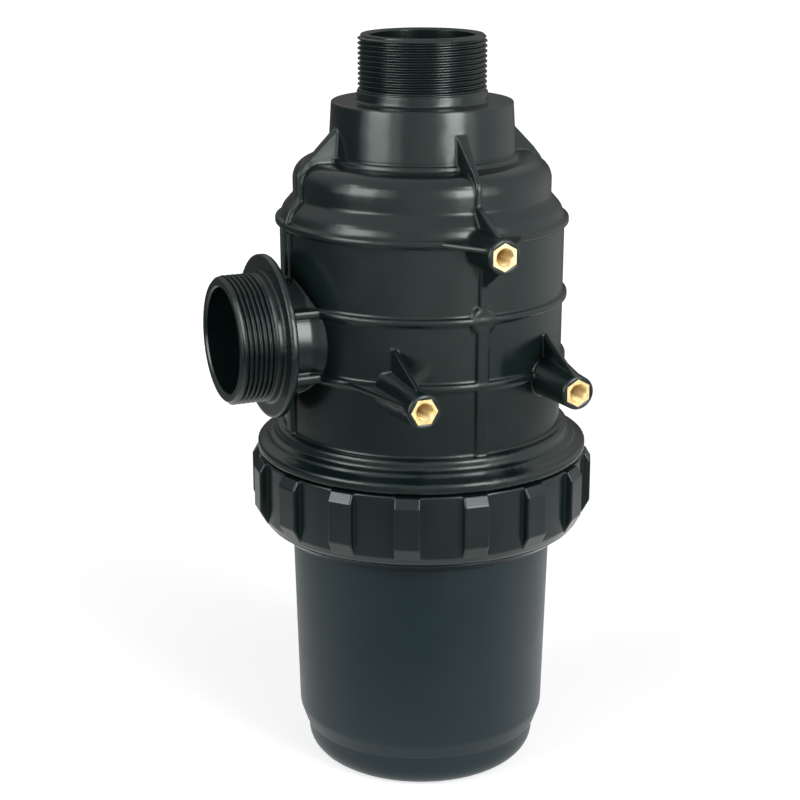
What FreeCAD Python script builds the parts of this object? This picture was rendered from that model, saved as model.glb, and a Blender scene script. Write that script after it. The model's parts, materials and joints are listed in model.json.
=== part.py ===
import FreeCAD, Part
import math
import os

os.makedirs("parts", exist_ok=True)

# Suction filter. Millimetres, +Z up the axis of the bowl, origin in the middle of the flat foot.
# The inlet port points to -X and the mounting bosses face -Y.

V = FreeCAD.Vector
X, Y, Z = V(1, 0, 0), V(0, 1, 0), V(0, 0, 1)
ORIGIN = V(0, 0, 0)

# Driving dimensions
TOTAL_H = 354.0
BODY_R = 66.8
WALL = 4.0

# Port thread, G2
THREAD_R = 59.614 / 2
BORE_R = 24.5
LEAD_IN = 1.7
RIM_BEVEL = 0.8
PORT_NECK_R = THREAD_R + 0.5
PORT_NECK_L = 4.6

# Heights of the head, hung from the rim of the outlet
COLLAR_TOP = TOTAL_H - 30.3
SHOULDER_TOP = COLLAR_TOP - 26.4
STEP_Z = SHOULDER_TOP - 16.4
STEP_KNEE_Z = STEP_Z - 5.4
RIB_1 = (STEP_Z - 13.4, STEP_Z - 9.8)
RIB_2 = (STEP_Z - 48.8, STEP_Z - 45.0)
RIB_3 = (STEP_Z - 79.2, STEP_Z - 75.1)
BASE_RING_TOP = STEP_Z - 109.9
BASE_STEP_TOP = BASE_RING_TOP - 5.1
FLANGE_TOP = BASE_STEP_TOP - 3.5
FLANGE_LOW = FLANGE_TOP - 4.3
SKIRT_LOW = FLANGE_LOW - 27.4
SEAT_Z = SHOULDER_TOP - 7.3
SEAT_RELIEF = 3.0

# Radii of the head, from the body's
BODY_LOW_R = BODY_R - 0.6
STEP_KNEE_R = BODY_R - 1.6
SHOULDER_R = BODY_R - 6.3
SHOULDER_ROUND = 9.2
COLLAR_R = BODY_R * 0.632
COLLAR_BASE_R = COLLAR_R + 1.4
BEAD_R = COLLAR_BASE_R + 1.6
BEAD_H = 2.2
BASE_RING_R = BODY_R + 3.5
BASE_STEP_R = BODY_R + 6.6
SKIRT_R = BODY_R + 8.4
SKIRT_T = 6.2
FLANGE_R = BODY_R + 12.1
FLANGE_RISE = 2.0
RIB_PROUD = 2.0

# Upright gussets and ribs at 90 degrees
GUSSET_TOP = COLLAR_TOP - 10.5
GUSSET_TIP_R = SHOULDER_R - 2.7
GUSSET_TIP_RISE = 1.6
GUSSET_ROOT_T = 5.6
GUSSET_TIP_T = 2.6
UPRIGHT_T = 4.2
UPRIGHT_LOW_T = 6.0
PAD_R = 6.4
PAD_ROUND = 1.4

# Inlet port
INLET_Z = STEP_Z - 61.8
INLET_FLANGE_R = 38.0
INLET_FLANGE_T = 3.6
INLET_FLANGE_X = BODY_R + 9.2
INLET_PLAIN = 2.8
INLET_RIM = INLET_FLANGE_X + 23.8
INLET_NECK_R = 27.2
INLET_ROOT_R = 30.0
INLET_WEB_Y = 27.8

# Mounting bosses: centre x, centre z, and a corner or a flat of the hexagon at the top
FACE_Y = -BODY_R - 21.2
BOSSES = {
    "insert_upper": (0.0, STEP_Z - 14.2, 30.0),
    "insert_left": (-37.5, STEP_Z - 79.1, 0.0),
    "insert_right": (37.5, STEP_Z - 79.1, 30.0),
}
BOSS_TIP_R = 7.7
BOSS_DRAFT = 0.045
FIN_T = 2.4
FIN_SIDE_ANGLE = 36.8
FIN_TOP_ANGLE = 69.4
INSERT_AF = 11.0
INSERT_L = 14.0
INSERT_BORE_R = 3.4
INSERT_SINK = 0.9

# Ring nut
NUT_R = FLANGE_R - 0.4
NUT_TOP = FLANGE_LOW - 1.3
NUT_CONE_Z = NUT_TOP - 29.4
NUT_LOW = NUT_CONE_Z - 9.9
NUT_LIP_R = NUT_R - 9.3
NUT_LIP_T = 5.0
LUGS = 16
LUG_PROUD = 3.5
LUG_W = 11.8
LUG_BEVEL = 4.2
LUG_LOW_BEVEL = 5.4
LUG_PHASE = -5.9

# Bowl and its seal
BOWL_TOP_R = BODY_R - 4.1
BOWL_LOW_R = BOWL_TOP_R - 2.4
BOWL_STEP_TOP = 25.0
FOOT_TOP = 16.2
FOOT_R = BOWL_LOW_R - 4.3
FOOT_ROUND = 11.5
FLOOR_T = 5.0
SEAT_RIBS = 8
SEAT_RIB_T = 3.0
O_RING_D = 3.5
O_RING_R = SKIRT_R - 3.6
O_RING_PROUD = 0.8

# Filter cartridge
CART_R = BODY_R - 13.3
CART_LOW = 18.0
GASKET_T = 3.6
END_T = 5.0
SEAT_R = (CART_R - 9.5, CART_R - 3.0)
CAGE_RIBS = 6
CAGE_RIB_W = 5.0
CAGE_HOOPS = 3
CAGE_HOOP_H = 4.0
MESH_R = CART_R - 3.3
MESH_T = 0.6

# Clearances, how deep a rib roots in its wall, and the rounding of moulded edges
THREAD_GAP = 0.4
SLIP_GAP = 0.5
SINK = 1.5
EDGE_ROUND = 0.7


def rounded_face(corners, place):
    """Face inside a closed outline of (a, b) or (a, b, rounding) corners; place maps a, b to a point."""
    count = len(corners)
    flat = [V(c[0], c[1], 0) for c in corners]
    cuts = []
    for i, corner in enumerate(corners):
        here = flat[i]
        if len(corner) < 3:
            cuts.append((here, None, here))
            continue
        back = (flat[i - 1] - here).normalize()
        on = (flat[(i + 1) % count] - here).normalize()
        half = back.getAngle(on) / 2
        middle = (back + on).normalize()
        reach = corner[2] / math.tan(half)
        bulge = corner[2] / math.sin(half) - corner[2]
        cuts.append((here + back * reach, here + middle * bulge, here + on * reach))
    edges = []
    for i, (start, mid, end) in enumerate(cuts):
        if mid is not None:
            edges.append(Part.Arc(place(start), place(mid), place(end)).toShape())
        follow = cuts[(i + 1) % count][0]
        if (follow - end).Length > 1e-6:
            edges.append(Part.makeLine(place(end), place(follow)))
    return Part.Face(Part.Wire(edges))


def turned(corners):
    """Solid turned about Z from (radius, height) corners."""
    return rounded_face(corners, lambda p: V(p.x, 0, p.y)).revolve(ORIGIN, Z, 360)


def tube(outer_r, inner_r, low, high):
    """Plain ring about Z."""
    return turned([(inner_r, low), (outer_r, low), (outer_r, high), (inner_r, high)])


def soften(plate, normal, middle):
    """Plate with the edges of its two faces rounded; normal is its thickness direction."""
    edges = []
    for edge in plate.Edges:
        sides = [v.Point.dot(normal) - middle for v in edge.Vertexes]
        if min(sides) * max(sides) > 0:
            edges.append(edge)
    return plate.makeFillet(EDGE_ROUND, edges)


def radial_plate(corners, thick, angle):
    """Upright plate of even thickness from (radius, height) corners, turned to an angle from +X."""
    plate = rounded_face(corners, lambda p: V(p.x, -thick / 2, p.y)).extrude(Y * thick)
    plate.rotate(ORIGIN, Z, angle)
    return plate


def turn_to(solid, angle):
    """Solid turned about Z to an angle from +X."""
    solid.rotate(ORIGIN, Z, angle)
    return solid


def side_plate(corners, thick, x):
    """Upright plate from (y, z) corners, centred on x, with softened edges."""
    plate = rounded_face(corners, lambda p: V(x - thick / 2, p.x, p.y)).extrude(X * thick)
    return soften(plate, X, x)


def level_plate(corners, low, high):
    """Level plate from (x, y) corners."""
    return rounded_face(corners, lambda p: V(p.x, p.y, low)).extrude(Z * (high - low))


def soft_level_plate(corners, low, high):
    """Level plate with softened edges."""
    return soften(level_plate(corners, low, high), Z, (low + high) / 2)


def hexagon(af, length, x, z, turn):
    """Hexagonal prism along +Y with its first face on the mounting plane."""
    circle_r = af / math.sqrt(3)
    points = []
    for k in range(6):
        a = math.radians(60 * k + turn)
        points.append(V(x + circle_r * math.cos(a), FACE_Y, z + circle_r * math.sin(a)))
    return Part.Face(Part.makePolygon(points + points[:1])).extrude(Y * length)


def body_r(z):
    """Outer radius of the drafted body at a height."""
    share = (z - FLANGE_TOP) / (RIB_1[0] - FLANGE_TOP)
    return BODY_LOW_R + (BODY_R - BODY_LOW_R) * share


def head_shell():
    """Outside of the head, turned about Z, still solid inside."""
    rib_out = BODY_R + RIB_PROUD
    outline = [
        (0, SKIRT_LOW),
        (SKIRT_R, SKIRT_LOW),
        (SKIRT_R, FLANGE_LOW),
        (FLANGE_R, FLANGE_LOW, 0.8),
        (FLANGE_R, FLANGE_TOP, 1.4),
        (BASE_STEP_R + 0.4, FLANGE_TOP + FLANGE_RISE, 2.0),
        (BASE_STEP_R, BASE_STEP_TOP, 0.7),
        (BASE_RING_R + 0.2, BASE_STEP_TOP + 0.6, 1.2),
        (BASE_RING_R, BASE_RING_TOP, 1.4),
        (body_r(BASE_RING_TOP), BASE_RING_TOP, 0.5),
        (BODY_R, RIB_1[0], 0.4),
        (rib_out, RIB_1[0] + 0.3, 0.9),
        (rib_out, RIB_1[1] - 0.3, 0.9),
        (BODY_R - 0.1, RIB_1[1] + 0.2, 0.4),
        (STEP_KNEE_R, STEP_KNEE_Z, 9.0),
        (SHOULDER_R - 0.1, STEP_Z, 0.6),
        (SHOULDER_R, SHOULDER_TOP, SHOULDER_ROUND),
        (BEAD_R, SHOULDER_TOP, 0.4),
        (BEAD_R, SHOULDER_TOP + BEAD_H, 0.9),
        (COLLAR_BASE_R - 0.5, SHOULDER_TOP + BEAD_H + 0.1),
        (COLLAR_BASE_R, SHOULDER_TOP + BEAD_H + 0.8, 0.5),
        (COLLAR_R, COLLAR_TOP, 0.9),
        (PORT_NECK_R, COLLAR_TOP, 0.8),
        (PORT_NECK_R, COLLAR_TOP + PORT_NECK_L, 0.5),
        (THREAD_R, COLLAR_TOP + PORT_NECK_L),
        (THREAD_R, TOTAL_H - LEAD_IN),
        (THREAD_R - LEAD_IN, TOTAL_H),
        (0, TOTAL_H),
    ]
    return turned(outline)


def head_cavity():
    """Inside of the head, turned about Z."""
    collar_in = COLLAR_BASE_R - WALL - 0.6
    shoulder_in = SHOULDER_R - WALL
    body_in = BODY_LOW_R - WALL + 0.3
    top_plane = SEAT_Z + SEAT_RELIEF
    outline = [
        (0, SKIRT_LOW - 1),
        (SKIRT_R - SKIRT_T, SKIRT_LOW - 1),
        (SKIRT_R - SKIRT_T, FLANGE_LOW - 1.0, 1.5),
        (body_in, FLANGE_TOP, 1.5),
        (body_in, STEP_Z - 9.4, 2.0),
        (shoulder_in, STEP_Z - 1.6, 2.0),
        (shoulder_in, top_plane, 2.9),
        (SEAT_R[1], top_plane),
        (SEAT_R[1], SEAT_Z),
        (SEAT_R[0], SEAT_Z),
        (SEAT_R[0], top_plane),
        (collar_in, top_plane, 1.0),
        (collar_in - 0.8, COLLAR_TOP - WALL, 3.0),
        (BORE_R, COLLAR_TOP - WALL, 1.0),
        (BORE_R, TOTAL_H - RIM_BEVEL),
        (BORE_R + RIM_BEVEL, TOTAL_H),
        (BORE_R + RIM_BEVEL, TOTAL_H + 1),
        (0, TOTAL_H + 1),
    ]
    return turned(outline)


def level_rib(span):
    """Rounded rib round the body between two heights."""
    low, high = span
    middle = body_r((low + high) / 2)
    outer = middle + RIB_PROUD
    return turned([
        (middle - SINK, low),
        (outer, low + 0.3, 0.9),
        (outer, high - 0.3, 0.9),
        (middle - SINK, high),
    ])


def gusset():
    """Gusset against the collar with the rib that runs on from it down to rib 1, towards +X."""
    proud = RIB_PROUD - 0.2
    tip_z = SHOULDER_TOP + GUSSET_TIP_RISE
    lap_r = GUSSET_TIP_R - 2.0
    lap_z = tip_z + (GUSSET_TOP - tip_z) * 2.0 / (GUSSET_TIP_R - COLLAR_R - 0.9)
    brace = radial_plate([
        (COLLAR_R - SINK, GUSSET_TOP),
        (COLLAR_R + 0.9, GUSSET_TOP),
        (GUSSET_TIP_R - 1.0, (tip_z + lap_z) / 2),
        (GUSSET_TIP_R - 1.0, SHOULDER_TOP - SINK),
        (COLLAR_R - SINK, SHOULDER_TOP - SINK),
    ], GUSSET_ROOT_T, 0)
    wedge = level_plate([
        (COLLAR_R - 3, -GUSSET_ROOT_T / 2),
        (GUSSET_TIP_R, -GUSSET_TIP_T / 2),
        (GUSSET_TIP_R, GUSSET_TIP_T / 2),
        (COLLAR_R - 3, GUSSET_ROOT_T / 2),
    ], SHOULDER_TOP - 5, GUSSET_TOP + 1)
    brace = brace.common(wedge).Solids[0]
    rib = radial_plate([
        (lap_r, lap_z),
        (GUSSET_TIP_R, tip_z, 4.0),
        (SHOULDER_R + proud, SHOULDER_TOP - 4.0, 5.0),
        (SHOULDER_R + proud, STEP_Z + 1.4, 1.0),
        (STEP_KNEE_R + 1.3, STEP_KNEE_Z + 1.3, 6.0),
        (BODY_R + proud, RIB_1[1], 1.0),
        (BODY_R + proud, RIB_1[0]),
        (BODY_R - SINK, RIB_1[0]),
        (BODY_R - SINK, RIB_1[1]),
        (SHOULDER_R - SINK, STEP_Z - 1.0),
        (SHOULDER_R - SINK, SHOULDER_TOP - 5.0),
        (lap_r, SHOULDER_TOP - 2.0),
    ], GUSSET_TIP_T, 0)
    return [soften(brace, Y, 0), soften(rib, Y, 0)]


def uprights():
    """Four gussets with their ribs, the ribs that run on down the body, and the round pad on the front one."""
    proud = RIB_PROUD - 0.2
    parts = []
    for angle in (0, 90, 180, 270):
        parts += [turn_to(piece, angle) for piece in gusset()]
        for thick, low, high in (
            (UPRIGHT_T, RIB_2[0], RIB_1[0] + 1),
            (UPRIGHT_LOW_T, FLANGE_TOP - 1, RIB_2[0] + 1),
        ):
            rib = radial_plate([
                (body_r(low) - SINK, low),
                (body_r(low) + proud, low),
                (body_r(high) + proud, high),
                (body_r(high) - SINK, high),
            ], thick, 0)
            parts.append(turn_to(soften(rib, Y, 0), angle))
    pad_z = (RIB_2[0] + RIB_2[1]) / 2
    face_r = body_r(pad_z) + proud
    pad = Part.makeCylinder(PAD_R, proud + 2 * SINK, V(0, -face_r, pad_z), Y)
    rim = [e for e in pad.Edges if abs(e.BoundBox.YMin + face_r) < 1e-6 and e.BoundBox.YLength < 1e-6]
    parts.append(pad.makeFillet(PAD_ROUND, rim))
    return parts


def inlet_solid():
    """Outside of the inlet port, turned about its own axis and laid along -X."""
    flange_face = INLET_FLANGE_X + INLET_FLANGE_T
    thread_start = flange_face + INLET_PLAIN
    outline = [
        (0, BODY_LOW_R - WALL - 7),
        (INLET_ROOT_R, BODY_LOW_R - WALL - 7),
        (INLET_ROOT_R - 0.6, BODY_LOW_R - WALL - 1),
        (INLET_NECK_R, BODY_LOW_R - 1, 6.0),
        (INLET_NECK_R, INLET_FLANGE_X, 1.2),
        (INLET_FLANGE_R, INLET_FLANGE_X, 0.9),
        (INLET_FLANGE_R, flange_face, 0.9),
        (PORT_NECK_R, flange_face, 0.8),
        (PORT_NECK_R, thread_start),
        (THREAD_R, thread_start),
        (THREAD_R, INLET_RIM - LEAD_IN),
        (THREAD_R - LEAD_IN, INLET_RIM),
        (0, INLET_RIM),
    ]
    port = turned(outline)
    port.rotate(ORIGIN, Y, -90)
    port.translate(Z * INLET_Z)
    return port


def inlet_webs():
    """Ribs 2 and 3 carried out along the inlet neck to its flange."""
    plates = []
    for low, high in (RIB_2, RIB_3):
        plates.append(soft_level_plate([
            (-INLET_FLANGE_X - 0.5, -INLET_WEB_Y),
            (-BODY_LOW_R + WALL + 2, -INLET_WEB_Y),
            (-BODY_LOW_R + WALL + 2, INLET_WEB_Y),
            (-INLET_FLANGE_X - 0.5, INLET_WEB_Y),
        ], low, high))
    return plates


def boss(x, z):
    """Drafted round boss with its face on the mounting plane."""
    root_y = -math.sqrt(body_r(z) ** 2 - x ** 2) + WALL - 0.8
    length = root_y - FACE_Y
    cone = Part.makeCone(BOSS_TIP_R, BOSS_TIP_R + BOSS_DRAFT * length, length, V(x, FACE_Y, z), Y)
    face = [e for e in cone.Edges if abs(e.BoundBox.YMax - FACE_Y) < 1e-6]
    return cone.makeChamfer(0.5, face)


def boss_fins():
    """Upright and level fins that brace the bosses."""
    tip_y = FACE_Y + 3.5
    rib_3 = (RIB_3[0] + RIB_3[1]) / 2
    rib_1 = (RIB_1[0] + RIB_1[1]) / 2
    fins = []
    for name in ("insert_left", "insert_right"):
        x, z, _ = BOSSES[name]
        side = math.copysign(1, x)
        wall_y = -math.sqrt(body_r(z) ** 2 - x ** 2)
        fins.append(side_plate([
            (wall_y + 3, z),
            (wall_y + 3, z + 21.0),
            (wall_y - 0.5, z + 20.0),
            (tip_y, z + BOSS_TIP_R - 0.4),
            (tip_y, z),
        ], FIN_T, x))
        end = math.radians(FIN_SIDE_ANGLE)
        far, near = BODY_R + SINK, BODY_R - WALL + 0.8
        fins.append(soft_level_plate([
            (x, wall_y + 2),
            (x, tip_y),
            (x + side * (BOSS_TIP_R - 0.4), tip_y),
            (side * far * math.cos(end), -far * math.sin(end)),
            (side * near * math.cos(end), -near * math.sin(end)),
        ], rib_3 - FIN_T / 2, rib_3 + FIN_T / 2))
    x, z, _ = BOSSES["insert_upper"]
    wall_y = -BODY_R
    fins.append(side_plate([
        (wall_y + 5, z),
        (-SHOULDER_R + 2, STEP_Z + 4.0),
        (-SHOULDER_R - 0.5, STEP_Z + 4.0),
        (tip_y, z + BOSS_TIP_R - 0.4),
        (tip_y, z - BOSS_TIP_R + 0.4),
        (wall_y - 0.5, z - 18.0),
        (wall_y + 3, z - 18.0),
    ], FIN_T, x))
    end = math.radians(FIN_TOP_ANGLE)
    root_x, root_y = (BODY_R - SINK) * math.cos(end), -(BODY_R - SINK) * math.sin(end)
    fins.append(soft_level_plate([
        (0, wall_y + 6),
        (-root_x, root_y),
        (-BOSS_TIP_R + 0.4, tip_y),
        (BOSS_TIP_R - 0.4, tip_y),
        (root_x, root_y),
    ], rib_1 - FIN_T / 2, rib_1 + FIN_T / 2))
    return fins


def make_head():
    """Head moulding with both ports, its ribs, flange, threaded skirt and mounting bosses."""
    pieces = [level_rib(RIB_2), level_rib(RIB_3), inlet_solid()]
    pieces += uprights() + inlet_webs() + boss_fins()
    for x, z, _ in BOSSES.values():
        pieces.append(boss(x, z))
    head = head_shell().fuse(pieces)
    bore = Part.makeCylinder(BORE_R, INLET_RIM + 1, V(0, 0, INLET_Z), -X)
    flare = Part.makeCone(BORE_R, BORE_R + RIM_BEVEL, RIM_BEVEL, V(-INLET_RIM + RIM_BEVEL, 0, INLET_Z), -X)
    pockets = [hexagon(INSERT_AF, INSERT_L, x, z, turn) for x, z, turn in BOSSES.values()]
    head = head.cut([head_cavity(), bore, flare] + pockets)
    return head.removeSplitter()


def make_insert(x, z, turn):
    """Brass M8 insert, hexagonal outside, with a bevelled bore."""
    body = hexagon(INSERT_AF, INSERT_L, x, z, turn)
    bore = Part.makeCylinder(INSERT_BORE_R, INSERT_L, V(x, FACE_Y, z), Y)
    bevel = Part.makeCone(INSERT_BORE_R + INSERT_SINK, INSERT_BORE_R, INSERT_SINK, V(x, FACE_Y, z), Y)
    return body.cut([bore, bevel])


def lug(angle):
    """One raised lug of the ring nut, bevelled above and below."""
    face_r = NUT_R + LUG_PROUD
    corners = [
        (NUT_R - SINK, NUT_CONE_Z - 1.0),
        (NUT_R, NUT_CONE_Z - 1.0),
        (face_r, NUT_CONE_Z + LUG_LOW_BEVEL, 2.0),
        (face_r, NUT_TOP - LUG_BEVEL - 0.3, 1.0),
        (NUT_R + 1.0, NUT_TOP - 0.3),
        (NUT_R - SINK, NUT_TOP - 0.3),
    ]
    return turn_to(soften(radial_plate(corners, LUG_W, 0), Y, 0), angle)


def make_nut():
    """Ring nut with its lugs and the inward lip that carries the bowl."""
    inner_r = SKIRT_R + THREAD_GAP
    lip_in = BOWL_TOP_R + SLIP_GAP
    lip_top = NUT_LOW + NUT_LIP_T
    ring = turned([
        (lip_in, NUT_LOW, 0.6),
        (NUT_LIP_R, NUT_LOW, 1.2),
        (NUT_R - 1.6, NUT_CONE_Z - 3.4, 3.0),
        (NUT_R, NUT_CONE_Z, 0.8),
        (NUT_R, NUT_TOP, 0.8),
        (inner_r, NUT_TOP, 0.6),
        (inner_r, lip_top),
        (lip_in, lip_top),
    ])
    lugs = [lug(360 / LUGS * k - 90 + LUG_PHASE) for k in range(LUGS)]
    return ring.fuse(lugs).removeSplitter()


def make_bowl():
    """Tapered bowl with a sealing flange on top and ribs in its foot that seat the cartridge."""
    flange_low = NUT_LOW + NUT_LIP_T
    flange_top = SKIRT_LOW - O_RING_PROUD
    flange_r = SKIRT_R - 0.2
    groove_half = O_RING_D / 2 + 0.25
    groove_low = SKIRT_LOW - O_RING_D
    inner_top = BOWL_TOP_R - WALL
    inner_low = BOWL_LOW_R - WALL
    foot_in = FOOT_R - WALL
    bowl = turned([
        (0, 0),
        (FOOT_R, 0, FOOT_ROUND),
        (FOOT_R, FOOT_TOP, 1.0),
        (BOWL_LOW_R - 2.6, FOOT_TOP + 1.2, 1.0),
        (BOWL_LOW_R, BOWL_STEP_TOP, 8.0),
        (BOWL_TOP_R, NUT_LOW),
        (BOWL_TOP_R, flange_low),
        (flange_r, flange_low, 0.5),
        (flange_r, flange_top, 0.4),
        (O_RING_R + groove_half, flange_top),
        (O_RING_R + groove_half, groove_low),
        (O_RING_R - groove_half, groove_low),
        (O_RING_R - groove_half, flange_top),
        (inner_top, flange_top, 0.8),
        (inner_top, NUT_LOW),
        (inner_low, CART_LOW + 6, 1.5),
        (foot_in, CART_LOW, 1.0),
        (foot_in - 1, FLOOR_T, 4.0),
        (0, FLOOR_T),
    ])
    ribs = []
    for k in range(SEAT_RIBS):
        ribs.append(radial_plate([
            (CART_R - 8.0, FLOOR_T - 1),
            (foot_in + 1, FLOOR_T - 1),
            (foot_in + 1, CART_LOW),
            (CART_R - 8.0, CART_LOW),
        ], SEAT_RIB_T, 360 / SEAT_RIBS * (k + 0.5)))
    return bowl.fuse(ribs).removeSplitter()


def make_cage():
    """Moulded cage of the cartridge: top ring, closed bottom cap, ribs and hoops."""
    low = CART_LOW + GASKET_T
    high = SEAT_Z - GASKET_T
    top_ring = tube(CART_R, SEAT_R[0] - 3, high - END_T, high)
    cap = Part.makeCylinder(CART_R, END_T, V(0, 0, low))
    pieces = [cap]
    for k in range(CAGE_RIBS):
        pieces.append(radial_plate([
            (MESH_R, low + END_T - 1),
            (CART_R - 0.6, low + END_T - 1),
            (CART_R - 0.6, high - END_T + 1),
            (MESH_R, high - END_T + 1),
        ], CAGE_RIB_W, 360 / CAGE_RIBS * (k + 0.5)))
    clear = high - low - 2 * END_T
    for k in range(CAGE_HOOPS):
        middle = low + END_T + clear * (k + 1) / (CAGE_HOOPS + 1)
        pieces.append(tube(CART_R - 0.3, MESH_R, middle - CAGE_HOOP_H / 2, middle + CAGE_HOOP_H / 2))
    cage = top_ring.fuse(pieces)
    return cage.cut(Part.makeCylinder(MESH_R, clear, V(0, 0, low + END_T))).removeSplitter()


def make_gasket(low):
    """Flat ring gasket of the cartridge."""
    return tube(CART_R - 2.0, SEAT_R[0] - 2, low, low + GASKET_T)


mesh_low = CART_LOW + GASKET_T + END_T
mesh_high = SEAT_Z - GASKET_T - END_T
ring_z = SKIRT_LOW - O_RING_D / 2

nodes = {
    "filter_head": make_head(),
    "bowl": make_bowl(),
    "bowl_o_ring": Part.makeTorus(O_RING_R, O_RING_D / 2, V(0, 0, ring_z), Z),
    "ring_nut": make_nut(),
    "cartridge_frame": make_cage(),
    "cartridge_mesh": tube(MESH_R, MESH_R - MESH_T, mesh_low, mesh_high),
    "cartridge_top_gasket": make_gasket(SEAT_Z - GASKET_T),
    "cartridge_bottom_gasket": make_gasket(CART_LOW),
}
for name, (x, z, turn) in BOSSES.items():
    nodes[name] = make_insert(x, z, turn)

for name, shape in nodes.items():
    box = shape.BoundBox
    size = f"{box.XLength:.1f} x {box.YLength:.1f} x {box.ZLength:.1f}"
    print(name, size, len(shape.Solids), "solid(s), valid", shape.isValid())
    shape.exportStep(f"parts/{name}.step")
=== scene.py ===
import json
import math

import bmesh
import bpy
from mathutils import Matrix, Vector


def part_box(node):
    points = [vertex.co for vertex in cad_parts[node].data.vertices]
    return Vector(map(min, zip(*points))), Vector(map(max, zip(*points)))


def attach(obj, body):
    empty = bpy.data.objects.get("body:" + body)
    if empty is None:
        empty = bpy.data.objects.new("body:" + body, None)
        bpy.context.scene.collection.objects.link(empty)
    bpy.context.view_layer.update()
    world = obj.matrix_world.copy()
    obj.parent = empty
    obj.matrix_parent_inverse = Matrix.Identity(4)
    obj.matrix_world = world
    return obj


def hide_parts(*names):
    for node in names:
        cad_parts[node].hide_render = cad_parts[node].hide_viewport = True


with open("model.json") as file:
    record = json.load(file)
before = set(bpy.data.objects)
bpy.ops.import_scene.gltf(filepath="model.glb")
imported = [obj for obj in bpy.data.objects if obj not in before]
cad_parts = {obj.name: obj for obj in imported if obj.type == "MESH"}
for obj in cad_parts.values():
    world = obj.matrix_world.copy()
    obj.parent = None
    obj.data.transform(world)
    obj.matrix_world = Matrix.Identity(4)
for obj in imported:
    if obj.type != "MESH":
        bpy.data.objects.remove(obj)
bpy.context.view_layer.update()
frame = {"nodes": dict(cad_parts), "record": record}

MM = 0.001
TURN = 2 * math.pi
ORIGIN = Vector((0, 0, 0))
UP = Vector((0, 0, 1))
NODES = frame["nodes"]
MOUNTS = {mount["name"]: mount for mount in frame["record"]["mounts"]}


# ---- Mesh helpers ----

WELD = 2e-6
SHARP = math.radians(32)
FACE_WEIGHT = 60


def welded_copy(name):
    """bmesh of a CAD node with its split vertices joined."""
    bm = bmesh.new()
    bm.from_mesh(NODES[name].data)
    bmesh.ops.remove_doubles(bm, verts=bm.verts, dist=WELD)
    return bm


def make_piece(bm, name, material):
    """Object from a bmesh, smooth but for its sharp edges."""
    bmesh.ops.recalc_face_normals(bm, faces=bm.faces)
    for face in bm.faces:
        face.smooth = True
    for edge in bm.edges:
        if len(edge.link_faces) == 2 and edge.calc_face_angle(0.0) > SHARP:
            edge.smooth = False
    mesh = bpy.data.meshes.new(name)
    bm.to_mesh(mesh)
    bm.free()
    mesh.materials.append(material)
    piece = bpy.data.objects.new(name, mesh)
    bpy.context.scene.collection.objects.link(piece)
    weighted = piece.modifiers.new("weighted", "WEIGHTED_NORMAL")
    weighted.keep_sharp = True
    weighted.weight = FACE_WEIGHT
    return piece


# ---- Threads ----

THREAD_FLAT = 0.14  # share of the pitch that is flat at the crest, and the same at the root
END_FACE = 0.9  # a face whose normal has more of the axis than this is an end, not the wall
ENDS_SLACK = 0.01 * MM
WALL_SLACK = 0.03 * MM
RING_HEIGHT_SLACK = 0.02 * MM
RING_RADIUS_SLACK = 0.05 * MM
LAP = 0.12 * MM  # between each open ring of the CAD mesh and the thread's nearest row


def basis(axis):
    """Two directions that make a right-handed frame with the axis."""
    first = Vector((0, 1, 0)) if abs(axis.x) > 0.5 else Vector((1, 0, 0))
    return first, axis.cross(first)


def stitch(bm, ring_a, ring_b):
    """Triangles between two rings of (angle, vertex), each sorted by angle."""
    def at(ring, k):
        return ring[k % len(ring)][0] + TURN * (k // len(ring))

    i, j = 0, 0
    while i < len(ring_a) or j < len(ring_b):
        a, b = ring_a[i % len(ring_a)][1], ring_b[j % len(ring_b)][1]
        if j >= len(ring_b) or (i < len(ring_a) and at(ring_a, i + 1) <= at(ring_b, j + 1)):
            i += 1
            bm.faces.new((a, b, ring_a[i % len(ring_a)][1]))
        else:
            j += 1
            bm.faces.new((a, b, ring_b[j % len(ring_b)][1]))


def thread_shape(phase):
    """1 on the crest and 0 in the root of a thread, by the share of a turn."""
    wave = abs(2 * (phase % 1.0) - 1)
    level = min(max((wave - THREAD_FLAT) / (1 - 2 * THREAD_FLAT), 0.0), 1.0)
    return level * level * (3 - 2 * level) * 0.5 + level * 0.5


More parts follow.
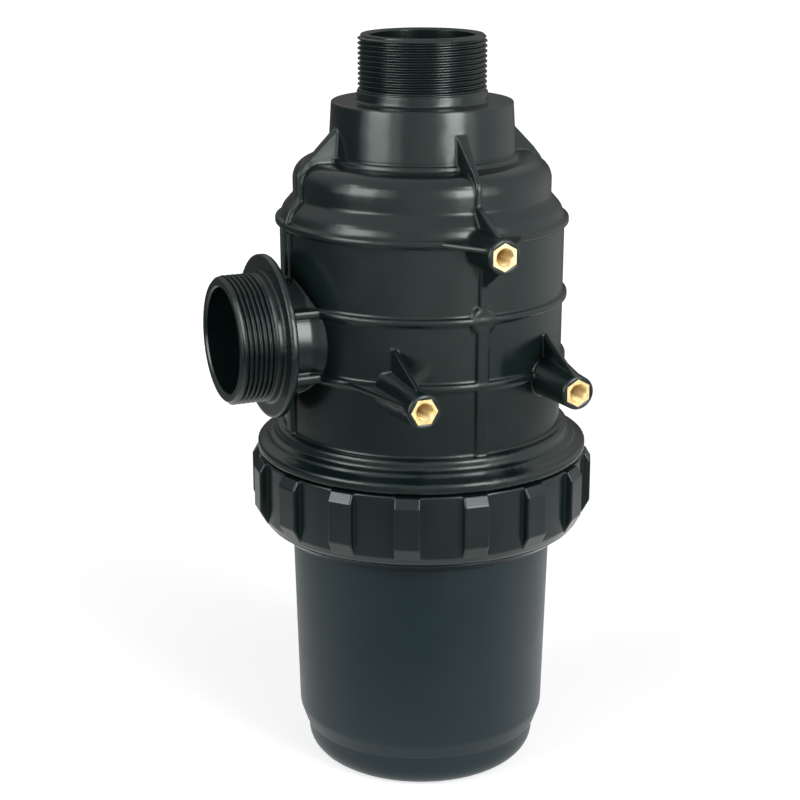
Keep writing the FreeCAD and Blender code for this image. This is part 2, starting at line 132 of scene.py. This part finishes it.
def cut_thread(bm, origin, axis, radius, start, end, pitch, depth, tip_r=None, inside=False,
               columns=144, per_turn=12, run_out=2.0 * MM):
    """Replaces a plain cylinder of the CAD mesh, and the cone at its end, by a helical thread.

    start and end are distances along the axis from the origin. tip_r is the radius at the end of
    the cone, if there is one. The thread fades over run_out towards each end without a cone.
    """
    u, v = basis(axis)
    sign = -1 if inside else 1
    tighter = max if inside else min

    def polar(co):
        local = co - origin
        a, b = local.dot(u), local.dot(v)
        return math.hypot(a, b), math.atan2(b, a) % TURN, local.dot(axis)

    def wall_r(s):
        return radius if tip_r is None else tighter(radius, tip_r + sign * (end - s))

    def on_wall(vert):
        r, _, s = polar(vert.co)
        return start - ENDS_SLACK <= s <= end + ENDS_SLACK and abs(r - wall_r(s)) < WALL_SLACK

    wall = [face for face in bm.faces
            if abs(face.normal.dot(axis)) <= END_FACE and all(map(on_wall, face.verts))]
    bmesh.ops.delete(bm, geom=wall, context="FACES")

    def open_ring(level):
        ring = []
        for vert in bm.verts:
            if any(edge.is_boundary for edge in vert.link_edges):
                r, angle, s = polar(vert.co)
                off = abs(r - wall_r(level))
                if abs(s - level) < RING_HEIGHT_SLACK and off < RING_RADIUS_SLACK:
                    ring.append((angle, vert))
        return sorted(ring, key=lambda item: item[0])

    low_ring, high_ring = open_ring(start), open_ring(end)
    length = end - start - 2 * LAP
    rows = max(2, round(length / pitch * per_turn))
    grid = []
    for row in range(rows + 1):
        s = start + LAP + length * row / rows
        fade = min(1.0, (s - start) / run_out)
        if tip_r is None:
            fade = min(fade, (end - s) / run_out)
        ring = []
        for column in range(columns):
            angle = TURN * column / columns
            cut = depth * fade * (1 - thread_shape(s / pitch - column / columns))
            r = tighter(radius - sign * cut, wall_r(s))
            co = origin + axis * s + u * (r * math.cos(angle)) + v * (r * math.sin(angle))
            ring.append((angle, bm.verts.new(co)))
        grid.append(ring)
    for low, high in zip(grid, grid[1:]):
        for k in range(columns):
            m = (k + 1) % columns
            bm.faces.new((low[k][1], low[m][1], high[m][1], high[k][1]))
    stitch(bm, low_ring, grid[0])
    stitch(bm, high_ring, grid[-1])


# ---- Shader helpers ----

NOISE_SPAN = (0.3, 0.7)  # where most of a noise texture's values lie
NOISE_ROUGHNESS = 0.55


def new_material(name):
    material = bpy.data.materials.new(name)
    material.use_nodes = True
    tree = material.node_tree
    return material, tree, tree.nodes["Principled BSDF"]


def node(tree, kind, inputs=None, **settings):
    """Adds a node with its settings and its unlinked input values."""
    made = tree.nodes.new(kind)
    for key, value in settings.items():
        setattr(made, key, value)
    for key, value in (inputs or {}).items():
        made.inputs[key].default_value = value
    return made


def object_coords(tree):
    return tree.nodes.new("ShaderNodeTexCoord").outputs["Object"]


def split_xyz(tree, vector):
    made = tree.nodes.new("ShaderNodeSeparateXYZ")
    tree.links.new(vector, made.inputs["Vector"])
    return made.outputs


def map_range(tree, source, ends, span=NOISE_SPAN):
    """Goes from the first to the second of ends while the source goes over its span."""
    made = node(tree, "ShaderNodeMapRange", {
        "From Min": span[0], "From Max": span[1], "To Min": ends[0], "To Max": ends[1]})
    tree.links.new(source, made.inputs["Value"])
    return made.outputs["Result"]


def math_node(tree, operation, *values):
    """Math node over sockets or numbers."""
    made = node(tree, "ShaderNodeMath", operation=operation)
    for k, value in enumerate(values):
        if isinstance(value, (int, float)):
            made.inputs[k].default_value = value
        else:
            tree.links.new(value, made.inputs[k])
    return made.outputs[0]


def vector_node(tree, operation, source):
    made = node(tree, "ShaderNodeVectorMath", operation=operation)
    tree.links.new(source, made.inputs[0])
    return made


def noise(tree, coords, scale, detail=3.0):
    made = node(tree, "ShaderNodeTexNoise", {
        "Scale": scale, "Detail": detail, "Roughness": NOISE_ROUGHNESS})
    tree.links.new(coords, made.inputs["Vector"])
    return made.outputs["Fac"]


def bump(tree, height, strength, distance, normal=None):
    made = node(tree, "ShaderNodeBump", {"Strength": strength, "Distance": distance})
    tree.links.new(height, made.inputs["Height"])
    if normal is not None:
        tree.links.new(normal, made.inputs["Normal"])
    return made.outputs["Normal"]


def paint(tree, shader, source, colours, rough, span=NOISE_SPAN):
    """Base colour and roughness that both follow one value over its span."""
    ramp = tree.nodes.new("ShaderNodeValToRGB")
    for element, position, colour in zip(ramp.color_ramp.elements, span, colours):
        element.position = position
        element.color = (*colour, 1)
    tree.links.new(source, ramp.inputs["Fac"])
    tree.links.new(ramp.outputs["Color"], shader.inputs["Base Color"])
    tree.links.new(map_range(tree, source, rough, span), shader.inputs["Roughness"])


# ---- Materials ----

PLASTIC_IOR = 1.49
GLOSSIEST, DULLEST = -0.03, 0.04  # how far the clouds move a plastic's roughness
BEVEL_SAMPLES = 8
CLOUD_SCALE, WAVE_SCALE, GRAIN_SCALE = 28.0, 90.0, 2600.0
WAVE_HEIGHT, GRAIN_HEIGHT = 0.6 * MM, 0.06 * MM
THREAD_EDGE = 0.3 * MM
OUTLET_THREAD_FROM = 326.8 * MM
INLET_THREAD_FROM = -80.0 * MM
SKIRT_THREAD_TO = 157.8 * MM
WIRES_ROUND = 260.0
WIRES_ALONG = 5180.0  # radians of the wires' wave in a metre of the tube


def plastic(name, dark, pale, rough, specular, tint, grain, waves, edge, threads=()):
    """Moulded plastic: cloudy colour, uneven gloss, soft edges, fine grain and slow waviness.

    The edges stay crisper on threads, given as (coordinate, operation, limit).
    """
    material, tree, shader = new_material(name)
    coords = object_coords(tree)
    clouds = noise(tree, coords, CLOUD_SCALE, 4.0)
    paint(tree, shader, clouds, (dark, pale), (rough + GLOSSIEST, rough + DULLEST))
    soft = node(tree, "ShaderNodeBevel", {"Radius": edge}, samples=BEVEL_SAMPLES)
    if threads:
        split = split_xyz(tree, coords)
        crisp = 0.0
        for coordinate, operation, limit in threads:
            here = math_node(tree, operation, split[coordinate], limit)
            crisp = math_node(tree, "MAXIMUM", crisp, here)
        radius = map_range(tree, crisp, (edge, THREAD_EDGE), (0.0, 1.0))
        tree.links.new(radius, soft.inputs["Radius"])
    slow = noise(tree, coords, WAVE_SCALE, 2.0)
    fine = noise(tree, coords, GRAIN_SCALE, 2.0)
    wavy = bump(tree, slow, waves, WAVE_HEIGHT, soft.outputs["Normal"])
    tree.links.new(bump(tree, fine, grain, GRAIN_HEIGHT, wavy), shader.inputs["Normal"])
    shader.inputs["Specular IOR Level"].default_value = specular
    shader.inputs["IOR"].default_value = PLASTIC_IOR
    shader.inputs["Specular Tint"].default_value = (*tint, 1.0)
    return material


def make_brass():
    """Turned brass: pale gold with fine tool marks."""
    material, tree, shader = new_material("brass")
    coords = object_coords(tree)
    clouds = noise(tree, coords, 420.0)
    paint(tree, shader, clouds, ((0.85, 0.60, 0.25), (0.98, 0.80, 0.44)), (0.36, 0.5))
    marks = noise(tree, coords, 3800.0, 2.0)
    tree.links.new(bump(tree, marks, 0.3, 0.04 * MM), shader.inputs["Normal"])
    shader.inputs["Metallic"].default_value = 1.0
    return material


def make_rubber():
    material, tree, shader = new_material("seal_rubber")
    coords = object_coords(tree)
    clouds = noise(tree, coords, 300.0)
    paint(tree, shader, clouds, ((0.006, 0.006, 0.006), (0.011, 0.011, 0.011)), (0.55, 0.68))
    pores = noise(tree, coords, 2200.0)
    tree.links.new(bump(tree, pores, 0.35, 0.06 * MM), shader.inputs["Normal"])
    return material


def make_woven_steel():
    """Woven stainless mesh drawn by two crossed sets of wires, round and along the tube, with
    painted shade in the openings between them.
    """
    material, tree, shader = new_material("mesh_steel")
    split = split_xyz(tree, object_coords(tree))
    angle = math_node(tree, "ARCTAN2", split["Y"], split["X"])
    across = math_node(tree, "SINE", math_node(tree, "MULTIPLY", angle, WIRES_ROUND))
    along = math_node(tree, "SINE", math_node(tree, "MULTIPLY", split["Z"], WIRES_ALONG))
    wires_and_gap_shade = map_range(tree, math_node(tree, "MAXIMUM", across, along), (0.0, 1.0), (-0.2, 0.7))
    # Pale steel on the wires, and painted shade in the openings between them where the shaded
    # inside would show through
    paint(tree, shader, wires_and_gap_shade, ((0.05, 0.05, 0.05), (0.55, 0.56, 0.57)), (0.6, 0.3), (0.0, 1.0))
    tree.links.new(bump(tree, wires_and_gap_shade, 0.6, 0.3 * MM), shader.inputs["Normal"])
    shader.inputs["Metallic"].default_value = 1.0
    return material


HEAD_PLASTIC = plastic(
    "head_plastic", dark=(0.0034, 0.0085, 0.0080), pale=(0.0050, 0.0110, 0.0104), rough=0.21,
    specular=0.55, tint=(0.89, 1.0, 0.97), grain=0.2, waves=0.12, edge=1.9 * MM,
    threads=(("Z", "GREATER_THAN", OUTLET_THREAD_FROM), ("X", "LESS_THAN", INLET_THREAD_FROM),
             ("Z", "LESS_THAN", SKIRT_THREAD_TO)))
NUT_PLASTIC = plastic(
    "nut_plastic", dark=(0.0036, 0.0085, 0.0084), pale=(0.0050, 0.0110, 0.0110), rough=0.24,
    specular=0.55, tint=(0.89, 1.0, 0.98), grain=0.25, waves=0.12, edge=0.9 * MM)
BOWL_PLASTIC = plastic(
    "bowl_plastic", dark=(0.0025, 0.0110, 0.0140), pale=(0.0040, 0.0135, 0.0165), rough=0.42,
    specular=0.45, tint=(0.84, 0.97, 1.0), grain=0.35, waves=0.08, edge=0.8 * MM)
CAGE_PLASTIC = plastic(
    "cage_plastic", dark=(0.012, 0.055, 0.19), pale=(0.016, 0.068, 0.22), rough=0.38,
    specular=0.5, tint=(1.0, 1.0, 1.0), grain=0.25, waves=0.1, edge=0.4 * MM)
BRASS = make_brass()
RUBBER = make_rubber()
STEEL = make_woven_steel()

NODE_MATERIALS = {
    "bowl": BOWL_PLASTIC,
    "bowl_o_ring": RUBBER,
    "cartridge_frame": CAGE_PLASTIC,
    "cartridge_mesh": STEEL,
    "cartridge_top_gasket": RUBBER,
    "cartridge_bottom_gasket": RUBBER,
}
for name, material in NODE_MATERIALS.items():
    NODES[name].data.materials.clear()
    NODES[name].data.materials.append(material)


# ---- Head with its G2 threads and the coarse thread under the ring nut ----

PORT_R = MOUNTS["outlet_thread"]["dims"]["r_mm"] * MM
G2_PITCH = 25.4 / 11 * MM
G2_DEPTH = 0.640327 * G2_PITCH
LEAD_IN = 1.7 * MM
OUTLET_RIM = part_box("filter_head")[1].z
OUTLET_L = 25.7 * MM
INLET_RIM = -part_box("filter_head")[0].x
INLET_L = 17.4 * MM
INLET_Z = MOUNTS["inlet_thread"]["pos_m"][2]
NUT_LEAD = 6.0 * MM
NUT_THREAD_DEPTH = 1.5 * MM
COARSE_ROWS = 10
SKIRT_R = 75.2 * MM
SKIRT_LOW, SKIRT_TOP = 130.7 * MM, 158.1 * MM
SKIRT_RUN_OUT = 3.0 * MM

head = welded_copy("filter_head")
cut_thread(head, ORIGIN, UP, PORT_R, OUTLET_RIM - OUTLET_L, OUTLET_RIM, G2_PITCH, G2_DEPTH,
           tip_r=PORT_R - LEAD_IN)
cut_thread(head, Vector((0, 0, INLET_Z)), Vector((-1, 0, 0)), PORT_R, INLET_RIM - INLET_L,
           INLET_RIM, G2_PITCH, G2_DEPTH, tip_r=PORT_R - LEAD_IN)
cut_thread(head, ORIGIN, UP, SKIRT_R, SKIRT_LOW, SKIRT_TOP, NUT_LEAD, NUT_THREAD_DEPTH,
           per_turn=COARSE_ROWS, run_out=SKIRT_RUN_OUT)
head_moulding = make_piece(head, "head_moulding", HEAD_PLASTIC)
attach(head_moulding, "head")
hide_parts("filter_head")


# ---- Ring nut with its coarse thread ----

NUT_BORE_R = 75.6 * MM
NUT_BORE_LOW, NUT_BORE_TOP = 122.5 * MM, 156.2 * MM
NUT_RUN_OUT = 6.0 * MM

nut = welded_copy("ring_nut")
cut_thread(nut, ORIGIN, UP, NUT_BORE_R, NUT_BORE_LOW, NUT_BORE_TOP, NUT_LEAD, NUT_THREAD_DEPTH,
           inside=True, per_turn=COARSE_ROWS, run_out=NUT_RUN_OUT)
nut_moulding = make_piece(nut, "ring_nut_moulding", NUT_PLASTIC)
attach(nut_moulding, "ring_nut")
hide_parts("ring_nut")


# ---- Brass inserts with their M8 threads ----

INSERT_L = 14.0 * MM
INSERT_SINK = 0.9 * MM
M8_PITCH = 1.25 * MM
M8_DEPTH = 0.6 * MM
M8_RUN_OUT = 0.6 * MM
M8_COLUMNS, M8_ROWS = 72, 10

for name in ("insert_upper", "insert_left", "insert_right"):
    mount = MOUNTS[name + "_m8"]
    bore = mount["dims"]["r_mm"] * MM
    centre = Vector((mount["pos_m"][0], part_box(name)[1].y, mount["pos_m"][2]))
    insert = welded_copy(name)
    cut_thread(insert, centre, Vector((0, -1, 0)), bore, 0.0, INSERT_L, M8_PITCH, M8_DEPTH,
               tip_r=bore + INSERT_SINK, inside=True, columns=M8_COLUMNS, per_turn=M8_ROWS,
               run_out=M8_RUN_OUT)
    piece = make_piece(insert, name + "_threaded", BRASS)
    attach(piece, "head")
    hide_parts(name)


# ---- Camera ----

PHOTO_PX = 800.0
FOCAL_PX = 1918.0
SENSOR = 36.0
CAMERA_AT = (-0.36118, -0.81123, 0.4406)
CAMERA_TILT = math.radians(73.6)
CAMERA_TURN = math.radians(-23.337)
CLIP_NEAR, CLIP_FAR = 0.05, 50.0

camera_data = bpy.data.cameras.new("camera")
camera_data.sensor_width = SENSOR
camera_data.lens = FOCAL_PX / PHOTO_PX * SENSOR
camera_data.clip_start = CLIP_NEAR
camera_data.clip_end = CLIP_FAR
camera = bpy.data.objects.new("camera", camera_data)
camera.location = CAMERA_AT
camera.rotation_euler = (CAMERA_TILT, 0.0, CAMERA_TURN)
bpy.context.scene.collection.objects.link(camera)
bpy.context.scene.camera = camera


# ---- Floor and room ----

# Level directions, right and front as in the photograph
ROOM_RIGHT = (0.515, -0.857, 0.0)
FLOOR_RIGHT = (0.914, -0.407, 0.0)
FLOOR_FRONT = (-0.407, -0.914, 0.0)
# Brightness, or a share of it, at the two ends of a span, and the span: a cosine, or metres from
# the foot's middle
SIDES = ((0.10, 0.9), (-0.35, 0.6))
CEILING = ((0.0, 0.8), (0.03, 0.75))
NEAR = ((0.9, 0.0), (0.25, 0.8))
NEAR_FRONT = ((1.0, 0.5), (0.2, 0.95))
NEAR_RIGHT = ((1.0, 1.25), (0.1, 0.8))
CLOSE = ((1.0, 0.0), (0.13, 0.19))
FAR = ((0.0, 1.0), (0.45, 1.0))
SEEN = ((0.62, 1.0), (0.15, 1.2))
FLOOR_GREY = 0.7
FLOOR_SIZE = 12.0
FLOOR_DROP = 0.2 * MM
WORLD_FILL = 0.2


def facing(tree, direction, target):
    """Cosine between a direction and a fixed one."""
    made = vector_node(tree, "DOT_PRODUCT", direction)
    made.inputs[1].default_value = target
    return made.outputs["Value"]


def room_glow(tree, direction):
    """How bright the room is for a glossy ray: bright to the right and above, dim elsewhere."""
    sides = map_range(tree, facing(tree, direction, ROOM_RIGHT), *SIDES)
    ceiling = map_range(tree, split_xyz(tree, direction)["Z"], *CEILING)
    return math_node(tree, "MAXIMUM", sides, ceiling)


def make_floor_material():
    """Floor that shows near white to the camera, keeps the object's shadow and lights glossy rays.

    A glossy ray sees a pool of light near the object, and the room's glow on the floor far off.
    """
    material = bpy.data.materials.new("floor")
    material.use_nodes = True
    tree = material.node_tree
    tree.nodes.clear()
    path = tree.nodes.new("ShaderNodeLightPath").outputs
    coords = object_coords(tree)
    length = vector_node(tree, "LENGTH", coords).outputs["Value"]
    unit = vector_node(tree, "NORMALIZE", coords).outputs["Vector"]
    near = map_range(tree, length, *NEAR)
    for target, shares in ((FLOOR_FRONT, NEAR_FRONT), (FLOOR_RIGHT, NEAR_RIGHT)):
        share = map_range(tree, facing(tree, unit, target), *shares)
        near = math_node(tree, "MULTIPLY", near, share)
    near = math_node(tree, "MAXIMUM", near, map_range(tree, length, *CLOSE))
    far = math_node(tree, "MULTIPLY", room_glow(tree, unit), map_range(tree, length, *FAR))
    reflected = math_node(tree, "MAXIMUM", near, far)
    glossy = math_node(tree, "MULTIPLY", reflected, path["Is Glossy Ray"])
    seen = math_node(tree, "MULTIPLY", path["Is Camera Ray"], map_range(tree, length, *SEEN))
    grey = node(tree, "ShaderNodeBsdfDiffuse", {"Color": (FLOOR_GREY, FLOOR_GREY, FLOOR_GREY, 1)})
    black = node(tree, "ShaderNodeBsdfDiffuse", {"Color": (0, 0, 0, 1)})
    surface = tree.nodes.new("ShaderNodeMixShader")
    tree.links.new(path["Is Glossy Ray"], surface.inputs["Fac"])
    tree.links.new(grey.outputs[0], surface.inputs[1])
    tree.links.new(black.outputs[0], surface.inputs[2])
    glow = node(tree, "ShaderNodeEmission", {"Color": (1, 1, 1, 1)})
    tree.links.new(math_node(tree, "ADD", glossy, seen), glow.inputs["Strength"])
    both = tree.nodes.new("ShaderNodeAddShader")
    tree.links.new(surface.outputs[0], both.inputs[0])
    tree.links.new(glow.outputs[0], both.inputs[1])
    out = tree.nodes.new("ShaderNodeOutputMaterial")
    tree.links.new(both.outputs[0], out.inputs["Surface"])
    return material


def make_floor():
    half = FLOOR_SIZE / 2
    corners = [(-half, -half, 0), (half, -half, 0), (half, half, 0), (-half, half, 0)]
    mesh = bpy.data.meshes.new("floor")
    mesh.from_pydata(corners, [], [(0, 1, 2, 3)])
    mesh.materials.append(make_floor_material())
    made = bpy.data.objects.new("floor", mesh)
    made.location = (0, 0, -FLOOR_DROP)
    bpy.context.scene.collection.objects.link(made)
    return made


floor = make_floor()
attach(floor, "bowl")  # the bowl stands on it at every pose

world = bpy.data.worlds.new("studio")
bpy.context.scene.world = world
world.use_nodes = True
tree = world.node_tree
background = tree.nodes["Background"]
background.inputs["Color"].default_value = (1, 1, 1, 1)
path = tree.nodes.new("ShaderNodeLightPath").outputs
ray = tree.nodes.new("ShaderNodeTexCoord").outputs["Generated"]
glossy = math_node(tree, "MULTIPLY", room_glow(tree, ray), path["Is Glossy Ray"])
other = math_node(tree, "SUBTRACT", 1.0, path["Is Glossy Ray"])
fill = math_node(tree, "MULTIPLY", other, WORLD_FILL)
strength = math_node(tree, "MAXIMUM", math_node(tree, "ADD", glossy, fill), path["Is Camera Ray"])
tree.links.new(strength, background.inputs["Strength"])


# ---- Lamps ----

# Name, turn in degrees from the camera's side of the object to the photograph's right, distance
# from the axis, lower and upper height, width, radiance
SOFT_BOXES = (
    ("left_low", -54, 1.0, 0.16, 0.30, 0.48, 2.4),
    ("left_box", -54, 1.0, 0.30, 0.85, 0.48, 4.8),
    ("left_glow", -52, 1.1, 0.20, 1.0, 1.1, 1.5),
    ("right_low", 39, 1.0, 0.16, 0.30, 0.36, 5.5),
    ("right_box", 40, 1.0, 0.30, 0.85, 0.38, 9.0),
    ("right_glow", 44, 1.1, 0.22, 1.0, 1.0, 1.2),
)
# Name, turn, elevation in degrees above the point they face, distance from it, size, radiance
TOP_BOXES = (
    ("left_top", -70, 41, 1.3, 0.2, 7.0),
    ("right_top", 50, 46, 1.3, 0.2, 12.0),
)
TOP_TARGET = Vector((0, 0, 0.15))
UPRIGHT = math.radians(90)


def plan_angle(turn):
    return math.atan2(camera.location.y, camera.location.x) + math.radians(turn)


def area_lamp(name, width, height, radiance, location, rotation):
    light = bpy.data.lights.new(name, "AREA")
    light.shape = "RECTANGLE"
    light.size, light.size_y = width, height
    light.energy = radiance * math.pi * width * height
    lamp = bpy.data.objects.new(name, light)
    lamp.location = location
    lamp.rotation_euler = rotation
    bpy.context.scene.collection.objects.link(lamp)


for name, turn, distance, low, high, width, radiance in SOFT_BOXES:
    plan = plan_angle(turn)
    place = (distance * math.cos(plan), distance * math.sin(plan), (low + high) / 2)
    area_lamp(name, width, high - low, radiance, place, (UPRIGHT, 0, plan + UPRIGHT))
for name, turn, elevation, distance, size, radiance in TOP_BOXES:
    plan, up = plan_angle(turn), math.radians(elevation)
    level = math.cos(up)
    offset = Vector((math.cos(plan) * level, math.sin(plan) * level, math.sin(up))) * distance
    area_lamp(name, size, size, radiance, offset + TOP_TARGET,
              offset.to_track_quat("Z", "Y").to_euler())

bpy.context.scene.view_settings.view_transform = "Standard"
